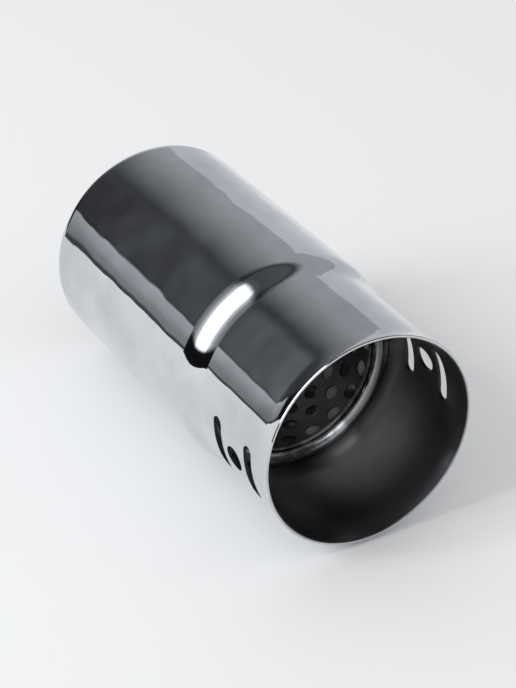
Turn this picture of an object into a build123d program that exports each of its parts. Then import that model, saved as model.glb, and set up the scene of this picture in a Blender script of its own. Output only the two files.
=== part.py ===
from build123d import *
from math import asin, cos, degrees, floor, pi, radians, sqrt, tan
import os

# Stepped exhaust tip in chromed sheet steel, in millimetres. It stands on its rear
# rim with the tube axis along +Z, the inlet at the bottom and the mouth at the top.

# Outer shell: a long rear barrel, a shoulder that steps in, and the front barrel
rear_diameter = 90.0
rear_length = 109.5
shoulder_length = 14.0
shoulder_step = 2.7
front_length = 50.5
shell_sheet = 1.2
rear_corner_radius = 6.0
rear_flat_least = 1.0
mouth_flare_length = 7.0
mouth_flare_out = 1.0
mouth_edge_break = 0.3

# Vents cut through both sides of the front barrel, measured from the mouth
vent_middle_depth = 26.5
vent_pitch = 11.1
vent_slot_length = 24.0
vent_slot_width = 5.5
vent_hole_diameter = 10.0

# Inlet pipe for the tailpipe, and the collar of the shell that holds it
tailpipe_diameter = 63.5
tailpipe_clearance = 0.5
inlet_wall = 1.5
inlet_length = 52.0
inlet_recess = 0.5
collar_height = 12.0
collar_bend = 3.0
weld_bead_radius = 1.5

# Perforated liner, with a lip turned out against the shoulder
liner_sheet = 0.8
lip_reach_past_neck = 0.05
lip_slope = 33.0
lip_bend_radius = 3.0
lip_flat_least = 0.5
first_hole_angle = 6.2
hole_diameter = 6.0
hole_pitch_round = 10.5
hole_row_pitch = 8.5
hole_rows = 4
plain_band_below_lip = 5.0

# Glass fibre packing between the liner and the shell
packing_clearance = 0.15
packing_below_lip = 2.0

# Clearance between metal pieces that slide together
fit_gap = 0.1

# Shell radii and bends that follow from the sizes above
rear_radius = rear_diameter / 2
front_radius = rear_radius - shoulder_step
neck_radius = front_radius - shell_sheet
shoulder_end = rear_length + shoulder_length
overall_length = shoulder_end + front_length
shoulder_bend = (shoulder_length**2 + shoulder_step**2) / (4 * shoulder_step)
shoulder_turn = degrees(asin(shoulder_length / 2 / shoulder_bend))
mouth_bend = (mouth_flare_length**2 + mouth_flare_out**2) / (2 * mouth_flare_out)
mouth_overrun = shell_sheet
mouth_turn = degrees(asin((mouth_flare_length + mouth_overrun) / mouth_bend))

# The pipe passes through the collar, and the liner slides over it onto the collar's end
inlet_bore_radius = (tailpipe_diameter + tailpipe_clearance) / 2
inlet_radius = inlet_bore_radius + inlet_wall
collar_radius = inlet_radius + fit_gap
rear_flat_start = collar_radius + collar_bend
rear_corner = min(rear_corner_radius, rear_radius - rear_flat_start - rear_flat_least)
liner_bore_radius = inlet_radius + fit_gap
liner_radius = liner_bore_radius + liner_sheet

# The lip seats where the narrowing shoulder is as wide as the lip
lip_radius = neck_radius + lip_reach_past_neck
lip_seat_rise = sqrt((shoulder_bend + shell_sheet)**2
                     - (front_radius + shoulder_bend - lip_radius - fit_gap)**2)
lip_height = shoulder_end - lip_seat_rise
lip_width = lip_radius - liner_bore_radius
lip_corner_height = lip_height + lip_width * tan(radians(lip_slope))
lip_slant = lip_width / cos(radians(lip_slope))
lip_bend_room = (lip_slant - lip_flat_least) * tan(radians(90 - lip_slope) / 2)
lip_bend = min(lip_bend_radius, lip_bend_room)

# The packing fills the rear barrel and half of the shoulder
packing_bore_radius = liner_radius + packing_clearance
packing_radius = rear_radius - shell_sheet - packing_clearance
packing_top = min(rear_length + shoulder_length / 2, lip_height - packing_below_lip)
packing_taper = packing_top - rear_length
packing_narrowing = shoulder_bend - sqrt(shoulder_bend**2 - packing_taper**2)


def sheet_section(path, sheet):
    """Section of bent sheet: a path of radius and height, thickened to its left."""
    with BuildSketch(Plane.XZ) as section:
        with BuildLine():
            add(path)
            offset(amount=sheet, side=Side.LEFT)
        make_face()
    return section.sketch


def shell_wall():
    """Stepped tube: collar, flat rear face, long rear barrel, S-shaped shoulder and
    front barrel that flares a little at the mouth."""
    with BuildLine() as path:
        FilletPolyline(
            (collar_radius, collar_height),
            (collar_radius, 0),
            (rear_radius, 0),
            (rear_radius, rear_length),
            radius=[collar_bend, rear_corner],
        )
        step_in = JernArc((rear_radius, rear_length), (0, 1), shoulder_bend, shoulder_turn)
        step_up = JernArc(step_in @ 1, step_in % 1, shoulder_bend, -shoulder_turn)
        front = Line(step_up @ 1, (front_radius, overall_length - mouth_flare_length))
        JernArc(front @ 1, (0, 1), mouth_bend, -mouth_turn)
    section = sheet_section(path.line, shell_sheet)
    above_mouth = Rectangle(rear_diameter, mouth_flare_length, align=(Align.MIN, Align.MIN))
    section -= Plane.XZ * Pos(0, overall_length) * above_mouth
    mouth_corners = section.vertices().group_by(Axis.Z)[-1]
    return revolve(chamfer(mouth_corners, mouth_edge_break), Axis.Z)


def vent_cutter():
    """A slot, a round hole and a slot in a column, reaching out along +X."""
    middle = overall_length - vent_middle_depth
    with BuildSketch(Plane.YZ) as outline:
        with Locations((0, middle - vent_pitch), (0, middle + vent_pitch)):
            SlotOverall(vent_slot_length, vent_slot_width)
        with Locations((0, middle)):
            Circle(vent_hole_diameter / 2)
    return extrude(outline.sketch, rear_radius)


def outer_shell():
    cutter = vent_cutter()
    return shell_wall() - cutter - cutter.rotate(Axis.Z, 180)


def inlet_pipe():
    """Plain socket for the tailpipe, with the weld bead in the groove of the collar."""
    with BuildSketch(Plane.XZ) as section:
        with Locations((inlet_bore_radius, inlet_recess)):
            Rectangle(inlet_wall, inlet_length, align=(Align.MIN, Align.MIN))
        with Locations((inlet_radius, inlet_recess + weld_bead_radius)):
            Circle(weld_bead_radius)
        with Locations((collar_radius + collar_bend, collar_bend)):
            Circle(collar_bend + fit_gap, mode=Mode.SUBTRACT)
        with Locations((inlet_bore_radius, 0)):
            Rectangle(inlet_radius, inlet_length, align=(Align.MAX, Align.MIN), mode=Mode.SUBTRACT)
    return revolve(section.sketch, Axis.Z)


def perforations():
    """Staggered rows of round pins that stand out through the liner wall."""
    holes_round = floor(2 * pi * liner_radius / hole_pitch_round)
    pin = Cylinder(hole_diameter / 2, hole_diameter, rotation=(0, 90, 0))
    pins = []
    for row in range(hole_rows):
        height = lip_height - plain_band_below_lip - row * hole_row_pitch
        for hole in range(holes_round):
            angle = first_hole_angle + (hole + row % 2 / 2) * 360 / holes_round
            pins.append(Rot(0, 0, angle) * Pos(liner_radius, 0, height) * pin)
    return pins


def perforated_liner():
    path = FilletPolyline(
        (lip_radius, lip_height),
        (liner_bore_radius, lip_corner_height),
        (liner_bore_radius, collar_height),
        radius=lip_bend,
    )
    return revolve(sheet_section(path, liner_sheet), Axis.Z) - perforations()


def fibre_packing():
    """Ring of mat that stands on the collar and tapers a little into the shoulder."""
    with BuildSketch(Plane.XZ) as section:
        with BuildLine():
            Polyline(
                (packing_bore_radius, collar_height),
                (packing_radius, collar_height),
                (packing_radius, rear_length),
                (packing_radius - packing_narrowing, packing_top),
                (packing_bore_radius, packing_top),
                close=True,
            )
        make_face()
    return revolve(section.sketch, Axis.Z)


nodes = {
    "outer_shell": outer_shell,
    "inlet_pipe": inlet_pipe,
    "perforated_liner": perforated_liner,
    "fibre_packing": fibre_packing,
}

os.makedirs("parts", exist_ok=True)
for name, build in nodes.items():
    export_step(build(), f"parts/{name}.step")
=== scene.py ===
import math

import bpy
from mathutils import Matrix, Vector


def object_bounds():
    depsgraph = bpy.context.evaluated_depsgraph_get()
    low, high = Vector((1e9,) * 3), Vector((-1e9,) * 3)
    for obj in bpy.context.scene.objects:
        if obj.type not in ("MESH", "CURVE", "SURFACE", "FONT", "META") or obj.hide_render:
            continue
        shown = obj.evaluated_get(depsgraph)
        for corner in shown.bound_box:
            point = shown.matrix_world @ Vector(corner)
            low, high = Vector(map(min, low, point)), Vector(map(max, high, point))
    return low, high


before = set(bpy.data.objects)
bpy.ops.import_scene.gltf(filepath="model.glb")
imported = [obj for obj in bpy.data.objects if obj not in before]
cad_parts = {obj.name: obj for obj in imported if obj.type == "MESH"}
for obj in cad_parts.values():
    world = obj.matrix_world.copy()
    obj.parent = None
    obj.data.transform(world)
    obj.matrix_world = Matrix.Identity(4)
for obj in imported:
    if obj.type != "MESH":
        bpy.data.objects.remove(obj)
cad_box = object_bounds()
scene = bpy.context.scene
scene.view_settings.view_transform = "Standard"

# The part stands on its rear rim, and its rear barrel is its widest stretch
REAR_RADIUS = cad_box[1][0]
LENGTH = cad_box[1][2]

# Camera fitted to the photograph, in metres. The tube lies on its side there, so the
# camera and the table are turned instead.
LENS_PIXELS = 2034.0
LONG_SIDE_PIXELS = 688.0
SENSOR = 36.0
MOUTH_SEEN = Vector((0.8994, 0.7851, 16.2093)) * REAR_RADIUS
AXIS_SEEN = Vector((-0.4908, -0.4557, 0.7426)).normalized()
VENT_ANGLE = math.radians(-119.0)
TABLE_TILT = math.radians(31.5)
CLIP_NEAR = 0.01
CLIP_FAR = 50

# White table under the tube. The wide one is what the camera sees, and the near one is
# what the metal mirrors, since its edge shows in the chrome.
WIDE_TABLE = 6.0
NEAR_TABLE = 0.57
TABLE_WHITE = (0.922, 0.93, 0.942, 1)

# Soft lamp beside the tube, which casts the shadow. Turn runs from the inlet's end (0)
# towards SIDE (90), and rise is the height above the table, both in degrees.
KEY_TURN = 86
KEY_RISE = 34
KEY_DISTANCE = 2.2
KEY_WIDTH, KEY_HEIGHT = 1.2, 0.9
KEY_WATTS = 24

# Brightness of the surroundings, as all but the metal sees them
SURROUNDINGS = 0.68

# Studio that the metal mirrors: brightness, and pairs in degrees of rise or turn between
# which one tone goes over into the next. A box is a stretch of turn, a stretch of rise, and
# how soft its edges are in turn and in rise.
COOL_RED, COOL_BLUE = 0.96, 1.06
ROOM, ROOM_OVERHEAD, ADDED_STRAIGHT_UP = 0.065, 0.035, 0.05
OVERHEAD_RISE, STRAIGHT_UP_RISE = (44, 49), (54, 60)
GLOW, GLOW_LEFT_OVERHEAD = 0.345, 0.06
GLOW_TURN, GLOW_RISE, GLOW_END = (8, -30), (56, 44), (120, 90)
BACKDROP_TONES, BACKDROP_RISE = (0.8, 0.6), (-20, 10)
BACKDROP_BOX = (-110, -8, -90, 19, 3.0, 0.8)
PANEL_BOX = (15, 150, -10, 90, 5.0, 1.0)
BELOW_PANEL, BELOW_PANEL_RISE = 0.008, (14, 7)
BAND_TONES, BAND_RISE = (0.52, 0.26), (10, -3)
BAND_BOX, BAND_TOP = (28, 45, -10, 90, 2.0, 1.0), (11.5, 10)
TABLE_EDGE, TABLE_EDGE_RISE = 0.07, (-2.5, -4.5)
TABLE_MIRRORED, TABLE_RISE = 0.8, (-7.0, -9.5)
HORIZON_WAVES, HORIZON_WAVE_HEIGHT = 9, 1.5
LIP_LIGHT, LIP_LIGHT_LOW, LIP_LIGHT_HIGH = 1.1, (-4, 2), (55, 48)

# How far a direction points to the inlet's end or to SIDE, from -1 to 1. The panel gets
# brighter in steps as directions turn away from the inlet's end.
PANEL_STEPS = ((0.74, 0.6, 0.28), (0.6, 0.46, 0.5), (0.45, 0.38, 2.4))
PANEL_DIM, PANEL_DIM_TONES = (0.81, 0.74), (0.05, 0.12)
PANEL_SIDE = (0.14, 0.32)
LIP_LIGHT_FRONT, LIP_LIGHT_SIDE = (-0.45, -0.6), (-0.2, 0.1)

# Depths below the mouth in metres, of the vents and of the band of painted glow on the inside
# wall
VENTS_FROM, VENTS_TO, VENTS_SOFT = 0.0065, 0.0465, 0.0005
PAINTED_GLOW_STARTS, PAINTED_GLOW_ENDS = (0.012, 0.034), (0.056, 0.042)

# Heights in metres at which the liner's polished lip starts and its stretch of painted shade
# ends
LIP_STARTS = (0.1185, 0.1205)
PAINTED_SHADE_ENDS = (0.088, 0.078)

# How much a surface faces outward, from -1 to 1, at the edges of cuts and on the inside
EDGE_FROM_OUTSIDE, EDGE_FROM_INSIDE = (0.7, 0.4), (-0.7, -0.4)
INSIDE = (-0.3, -0.7)


def photo_axes():
    """CAD axes as the photograph's camera sees them: right, down, forward."""
    upward = Vector((0, -1, 0))
    side = (upward - upward.dot(AXIS_SEEN) * AXIS_SEEN).normalized()
    across = AXIS_SEEN.cross(side)
    x = math.cos(VENT_ANGLE) * side + math.sin(VENT_ANGLE) * across
    z = -AXIS_SEEN
    return Matrix((x, z.cross(x), z))


AXES = photo_axes()


def from_photo(direction):
    return (AXES @ Vector(direction)).normalized()


RIGHT = from_photo((1, 0, 0))
DOWN = from_photo((0, 1, 0))
AHEAD = from_photo((0, 0, 1))
UP = from_photo((0, -math.cos(TABLE_TILT), -math.sin(TABLE_TILT)))
UP = Vector((UP.x, UP.y, 0)).normalized()
MOUTHWARD = Vector((0, 0, 1))
SIDE = MOUTHWARD.cross(UP)


def add(name, data):
    made = bpy.data.objects.new(name, data)
    scene.collection.objects.link(made)
    return made


def add_camera():
    data = bpy.data.cameras.new("camera")
    data.sensor_width = SENSOR
    data.lens = LENS_PIXELS * SENSOR / LONG_SIDE_PIXELS
    data.clip_start, data.clip_end = CLIP_NEAR, CLIP_FAR
    camera = add("camera", data)
    turn = Matrix((RIGHT, -DOWN, -AHEAD)).transposed()
    place = Vector((0, 0, LENGTH)) - AXES @ MOUTH_SEEN
    camera.matrix_world = Matrix.Translation(place) @ turn.to_4x4()
    scene.camera = camera


class Graph:
    """Short calls for building a node tree."""

    def __init__(self, owner):
        owner.use_nodes = True
        self.tree = owner.node_tree
        self.tree.nodes.clear()

    def add(self, kind, inputs=None, **settings):
        made = self.tree.nodes.new("ShaderNode" + kind)
        for key, value in settings.items():
            setattr(made, key, value)
        for key, value in (inputs or {}).items():
            self.feed(made.inputs[key], value)
        return made

    def feed(self, socket, value):
        if isinstance(value, bpy.types.NodeSocket):
            self.tree.links.new(value, socket)
        elif isinstance(value, bpy.types.Node):
            self.tree.links.new(value.outputs[0], socket)
        else:
            socket.default_value = value

    def math(self, operation, first, second=0.0):
        return self.add("Math", {0: first, 1: second}, operation=operation).outputs[0]

    def times(self, first, second):
        return self.math("MULTIPLY", first, second)

    def plus(self, first, second):
        return self.math("ADD", first, second)

    def dot(self, vector, direction):
        made = self.add("VectorMath", {0: vector, 1: direction}, operation="DOT_PRODUCT")
        return made.outputs["Value"]

    def smooth(self, value, start, end, low=0.0, high=1.0):
        """Goes smoothly from low at start to high at end."""
        made = self.add(
            "MapRange",
            {"Value": value, "From Min": start, "From Max": end, "To Min": low, "To Max": high},
            interpolation_type="SMOOTHSTEP",
        )
        return made.outputs["Result"]

    def line(self, value, start, end, low=0.0, high=1.0):
        """Goes evenly from low at start to high at end."""
        made = self.add(
            "MapRange",
            {"Value": value, "From Min": start, "From Max": end, "To Min": low, "To Max": high},
        )
        return made.outputs["Result"]

    def blend(self, factor, first, second):
        """Mixes two numbers."""
        made = self.add("Mix", {"Factor": factor, "A": first, "B": second}, data_type="FLOAT")
        return made.outputs["Result"]

    def colour(self, factor, first, second):
        """Mixes two colours."""
        made = self.add("MixRGB", {"Fac": factor, "Color1": first, "Color2": second})
        return made.outputs["Color"]

    def noise(self, vector, scale, detail=3.0, rough=0.5):
        made = self.add(
            "TexNoise", {"Vector": vector, "Scale": scale, "Detail": detail, "Roughness": rough}
        )
        return made.outputs["Fac"]


def grey(value):
    return (value, value, value, 1)


def room_light(g, turn, rise, box):
    """Dim room that glows to the side away from SIDE, with a pale backdrop low down there."""
    glow = g.times(
        g.line(turn, *GLOW_TURN, 0.0, GLOW), g.smooth(rise, *GLOW_RISE, GLOW_LEFT_OVERHEAD, 1.0)
    )
    glow = g.times(glow, g.smooth(g.math("ABSOLUTE", turn), *GLOW_END))
    overhead = g.smooth(rise, *OVERHEAD_RISE, ROOM, ROOM_OVERHEAD)
    straight_up = g.smooth(rise, *STRAIGHT_UP_RISE, 0.0, ADDED_STRAIGHT_UP)
    room = g.plus(glow, g.plus(overhead, straight_up))
    backdrop = g.line(rise, *BACKDROP_RISE, *BACKDROP_TONES)
    return g.blend(box(*BACKDROP_BOX), room, backdrop)


def panel_light(g, rise, rearward, sideways):
    """Big soft box on the SIDE side, bright beside the tube and dim towards its inlet."""
    panel = 0.0
    for far, near, added in PANEL_STEPS:
        panel = g.plus(panel, g.line(rearward, far, near, 0.0, added))
    panel = g.times(panel, g.smooth(sideways, *PANEL_SIDE))
    panel = g.plus(panel, g.line(rearward, *PANEL_DIM, *PANEL_DIM_TONES))
    return g.blend(g.smooth(rise, *BELOW_PANEL_RISE), panel, BELOW_PANEL)


def add_horizon(g, light, rise, way, box):
    """Pale band over the table's dark edge, and the table below it, all a little wavy."""
    waves = g.noise(way, HORIZON_WAVES, 2)
    wavy = g.plus(rise, g.line(waves, 0.3, 0.7, -HORIZON_WAVE_HEIGHT, HORIZON_WAVE_HEIGHT))
    across = box(*BAND_BOX)
    band = g.line(wavy, *BAND_RISE, *BAND_TONES)
    light = g.blend(g.times(across, g.smooth(wavy, *BAND_TOP)), light, band)
    light = g.blend(g.times(across, g.smooth(wavy, *TABLE_EDGE_RISE)), light, TABLE_EDGE)
    return g.blend(g.smooth(wavy, *TABLE_RISE), light, TABLE_MIRRORED)


def add_lip_light(g, light, rise, rearward, sideways):
    """Lamp before the mouth that makes the liner's lip shine."""
    before_mouth = g.times(
        g.smooth(rearward, *LIP_LIGHT_FRONT), g.smooth(sideways, *LIP_LIGHT_SIDE)
    )
    above_table = g.times(g.smooth(rise, *LIP_LIGHT_LOW), g.smooth(rise, *LIP_LIGHT_HIGH))
    return g.blend(g.times(before_mouth, above_table), light, LIP_LIGHT)


def studio_world():
    """Pale surroundings, in which metal mirrors a dark studio with soft boxes."""
    world = bpy.data.worlds.new("studio")
    scene.world = world
    world.cycles.sampling_method = "NONE"
    g = Graph(world)
    way = g.add("TexCoord").outputs["Generated"]
    rearward = g.dot(way, -MOUTHWARD)
    sideways = g.dot(way, SIDE)
    rise = g.math("DEGREES", g.math("ARCSINE", g.dot(way, UP)))
    turn = g.math("DEGREES", g.math("ARCTAN2", sideways, rearward))

    def box(left, right, low, high, soft_turn, soft_rise):
        wide = g.times(
            g.smooth(turn, left - soft_turn, left + soft_turn),
            g.smooth(turn, right + soft_turn, right - soft_turn),
        )
        tall = g.times(
            g.smooth(rise, low - soft_rise, low + soft_rise),
            g.smooth(rise, high + soft_rise, high - soft_rise),
        )
        return g.times(wide, tall)

    light = room_light(g, turn, rise, box)
    panel = panel_light(g, rise, rearward, sideways)
    light = g.blend(box(*PANEL_BOX), light, panel)
    light = add_horizon(g, light, rise, way, box)
    light = add_lip_light(g, light, rise, rearward, sideways)

    tints = {"Red": g.times(light, COOL_RED), "Green": light, "Blue": g.times(light, COOL_BLUE)}
    mirrored = g.add("CombineColor", tints)
    is_mirror = g.add("LightPath").outputs["Is Glossy Ray"]
    shine = g.add("Background", {"Color": g.colour(is_mirror, grey(SURROUNDINGS), mirrored)})
    g.add("OutputWorld", {"Surface": shine})


def table_material():
    """White table top that can be seen through from below."""
    material = bpy.data.materials.new("table_top")
    g = Graph(material)
    top = g.add("BsdfDiffuse", {"Color": TABLE_WHITE})
    clear = g.add("BsdfTransparent")
    side = g.add("NewGeometry").outputs["Backfacing"]
    both = g.add("MixShader", {0: side, 1: top, 2: clear})
    g.add("OutputMaterial", {"Surface": both})
    return material


def add_table(name, radius, corners):
    """A flat polygon under the tube as it lies in the photograph."""
    mesh = bpy.data.meshes.new(name)
    points = []
    for i in range(corners):
        angle = 2 * math.pi * (i + 0.5) / corners
        points.append(
            -REAR_RADIUS * UP
            + Vector((0, 0, LENGTH / 2))
            + radius * (math.cos(angle) * SIDE - math.sin(angle) * MOUTHWARD)
        )
    mesh.from_pydata(points, [], [tuple(range(corners))])
    mesh.update()
    if mesh.polygons[0].normal.dot(UP) < 0:
        mesh.flip_normals()
    made = add(name, mesh)
    return made


def add_tables():
    top = table_material()
    wide = add_table("table_wide", WIDE_TABLE, 4)
    wide.visible_glossy = False
    near = add_table("table_near", NEAR_TABLE, 24)
    near.visible_camera = False
    near.visible_diffuse = False
    near.visible_shadow = False
    for made in (wide, near):
        made.data.materials.append(top)


def add_key_light():
    data = bpy.data.lights.new("key", "AREA")
    data.shape = "RECTANGLE"
    data.size, data.size_y = KEY_WIDTH, KEY_HEIGHT
    data.energy = KEY_WATTS
    key = add("key", data)
    aim = Vector((0, 0, LENGTH / 2))
    turn, rise = math.radians(KEY_TURN), math.radians(KEY_RISE)
    way = (
        math.sin(rise) * UP
        + math.cos(rise) * (math.sin(turn) * SIDE - math.cos(turn) * MOUTHWARD)
    )
    key.location = aim + KEY_DISTANCE * way
    key.rotation_mode = "QUATERNION"
    key.rotation_quaternion = (-way).to_track_quat("-Z", "Y")
    key.visible_glossy = False


def smears(g, place):
    return g.noise(place, 38, 4, 0.55)


def scratched(g, place, smear, dull, scratches):
    """Roughness that follows the smears, with fine scratches added."""
    fine = g.noise(place, 900, 2, 0.6)
    return g.plus(g.line(smear, 0.3, 0.75, *dull), g.line(fine, 0.4, 0.7, 0.0, scratches))


def bumps(g, height, strength, distance):
    return g.add("Bump", {"Height": height, "Strength": strength, "Distance": distance})


def finish_metal(g, material, colour, gloss, bump):
    inputs = {"Base Color": colour, "Metallic": 1.0, "Roughness": gloss, "Normal": bump}
    g.add("OutputMaterial", {"Surface": g.add("BsdfPrincipled", inputs)})
    return material


def inlet_material():
    """Dull stainless sheet with faint smears and fine scratches."""
    material = bpy.data.materials.new("dull_steel")
    g = Graph(material)
    place = g.add("TexCoord").outputs["Object"]
    smear = smears(g, place)
    worn = g.colour(g.line(smear, 0.35, 0.7), (0.42, 0.42, 0.41, 1), (0.391, 0.391, 0.381, 1))
    gloss = scratched(g, place, smear, (0.16, 0.24), 0.04)
    bump = bumps(g, g.noise(place, 26, 2, 0.4), 0.06, 0.0006)
    return finish_metal(g, material, worn, gloss, bump)


def shell_material():
    """Chrome outside, dark cut edges at the vents, and steel inside in painted shade with a
    band of painted glow.
    """
    material = bpy.data.materials.new("chrome_plate")
    g = Graph(material)
    place = g.add("TexCoord").outputs["Object"]
    parts = g.add("SeparateXYZ", {0: place})
    radial = g.add("CombineXYZ", {"X": parts.outputs["X"], "Y": parts.outputs["Y"]})
    outward = g.add("VectorMath", {0: radial}, operation="NORMALIZE").outputs[0]
    faces_out = g.dot(g.add("NewGeometry").outputs["Normal"], outward)
    depth = g.math("SUBTRACT", LENGTH, parts.outputs["Z"])

    by_vents = g.times(
        g.smooth(depth, VENTS_FROM - VENTS_SOFT, VENTS_FROM + VENTS_SOFT),
        g.smooth(depth, VENTS_TO + VENTS_SOFT, VENTS_TO - VENTS_SOFT),
    )
    edge = g.times(
        g.smooth(faces_out, *EDGE_FROM_OUTSIDE), g.smooth(faces_out, *EDGE_FROM_INSIDE)
    )
    cut = g.times(by_vents, edge)
    within = g.smooth(faces_out, *INSIDE)
    # Painted glow: a lighter band on the inside wall at these depths
    painted_glow = g.times(g.smooth(depth, *PAINTED_GLOW_STARTS), g.smooth(depth, *PAINTED_GLOW_ENDS))

    smear = smears(g, place)
    plate = g.colour(g.line(smear, 0.35, 0.65), (0.68, 0.695, 0.71, 1), (0.56, 0.575, 0.59, 1))
    # Painted shade: the inside wall is dark grey, lightened by the painted glow band
    inside_shade_and_glow = g.colour(painted_glow, grey(0.19), (0.45, 0.44, 0.43, 1))
    colour = g.colour(cut, g.colour(within, plate, inside_shade_and_glow), grey(0.035))
    outside = scratched(g, place, smear, (0.02, 0.05), 0.015)
    inside = g.line(smear, 0.3, 0.7, 0.28, 0.34)
    gloss = g.blend(cut, g.blend(within, outside, inside), 0.45)
    bump = bumps(g, g.noise(place, 26, 2, 0.4), 0.9, 0.0008)
    return finish_metal(g, material, colour, gloss, bump)


def liner_material():
    """Sleeve in painted shade, near black, deep down below its lip, which is brighter and
    streaky.
    """
    material = bpy.data.materials.new("perforated_steel")
    g = Graph(material)
    place = g.add("TexCoord").outputs["Object"]
    height = g.add("SeparateXYZ", {0: place}).outputs["Z"]
    smear = g.noise(place, 60, 4, 0.6)
    # Painted shade: the sleeve's deep stretch is near black, with random streaks
    painted_shade = g.colour(smear, (0.13, 0.125, 0.125, 1), (0.08, 0.08, 0.085, 1))
    wall = g.colour(g.smooth(height, *PAINTED_SHADE_ENDS), painted_shade, (0.5, 0.49, 0.48, 1))
    polished = g.colour(g.smooth(smear, 0.42, 0.58), grey(0.24), (0.7, 0.7, 0.71, 1))
    lip = g.smooth(height, *LIP_STARTS)
    wall_gloss = g.line(smear, 0.3, 0.7, 0.3, 0.4)
    lip_gloss = g.line(smear, 0.3, 0.7, 0.1, 0.2)
    gloss = g.blend(lip, wall_gloss, lip_gloss)
    bump = bumps(g, smear, 0.1, 0.0004)
    return finish_metal(g, material, g.colour(lip, wall, polished), gloss, bump)


def fibre_material():
    """Pale glass fibre mat, black with soot in places."""
    material = bpy.data.materials.new("glass_fibre_mat")
    g = Graph(material)
    place = g.add("TexCoord").outputs["Object"]
    strands = g.noise(place, 700, 4, 0.7)
    sooty = g.smooth(g.noise(place, 85, 1), 0.42, 0.56)
    mat = g.colour(sooty, (0.62, 0.62, 0.6, 1), grey(0.05))
    shaded = g.colour(0.45, mat, grey(0.05))
    bump = bumps(g, strands, 0.8, 0.0006)
    inputs = {"Base Color": g.colour(strands, shaded, mat), "Roughness": 0.9, "Normal": bump}
    g.add("OutputMaterial", {"Surface": g.add("BsdfPrincipled", inputs)})
    return material


def dress(name, material):
    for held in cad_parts[name].material_slots:
        held.material = material


add_camera()
studio_world()
add_tables()
add_key_light()
dress("outer_shell", shell_material())
dress("inlet_pipe", inlet_material())
dress("perforated_liner", liner_material())
dress("fibre_packing", fibre_material())
